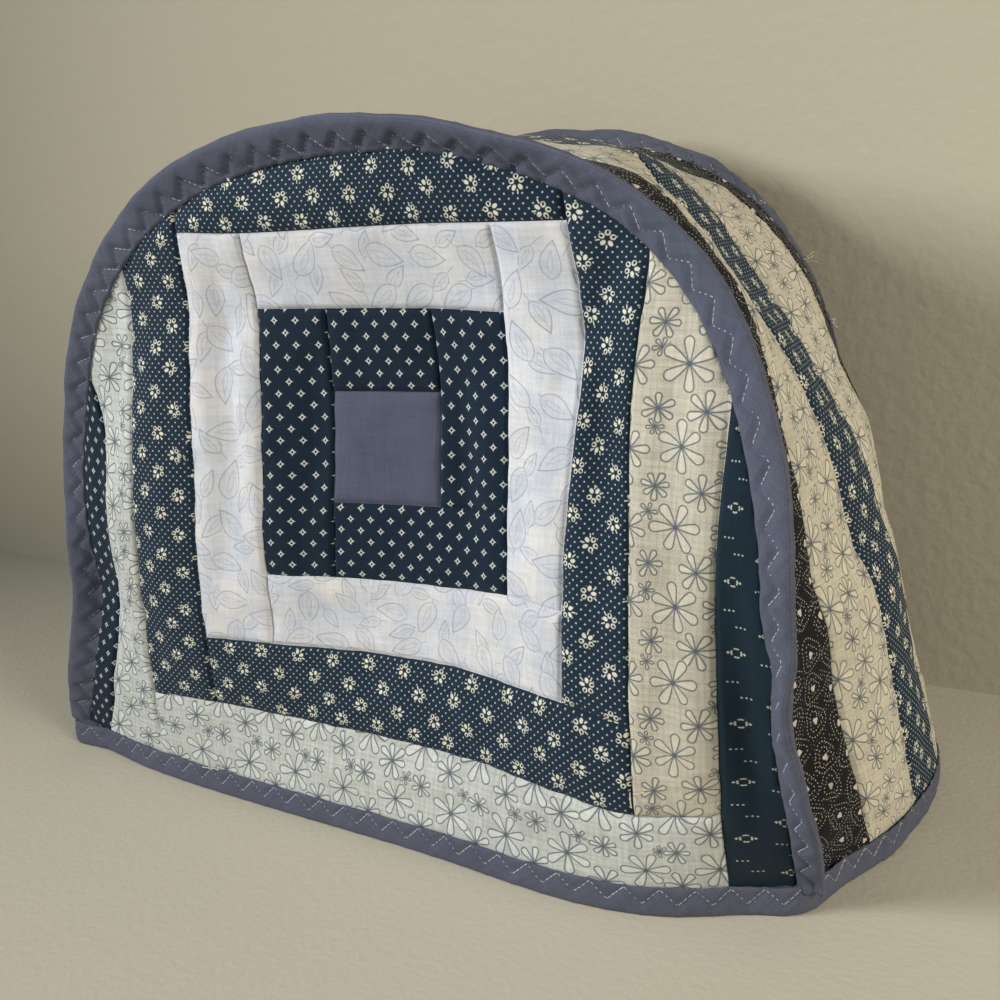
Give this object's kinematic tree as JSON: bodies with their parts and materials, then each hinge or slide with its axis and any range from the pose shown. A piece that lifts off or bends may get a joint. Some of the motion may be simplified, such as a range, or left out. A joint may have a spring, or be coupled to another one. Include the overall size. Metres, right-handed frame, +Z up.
{
  "type": "patchwork toaster cover",
  "caption": "Hollow toaster cover of pieced printed cotton: log cabin patchwork faces, a strip-pieced gusset over the top, and slate bias binding on its seams and hem.",
  "frame": {"origin": "on the table, under the middle of the cover's bounding box", "axes": "+X along the cover, towards the right of its front face; -Y out of the front face; +Z up"},
  "size_m": [0.3362, 0.1986, 0.2401],
  "materials": {
    "navy_print_cotton": "matt printed quilting cotton",
    "pale_print_cotton": "matt printed quilting cotton",
    "slate_cotton": "matt plain cotton bias binding"
  },
  "bodies": {
    "root": {"front_panel": "navy_print_cotton", "back_panel": "navy_print_cotton", "gusset": "pale_print_cotton", "front_seam_binding": "slate_cotton", "back_seam_binding": "slate_cotton", "hem_binding": "slate_cotton"}
  },
  "joints": []
}
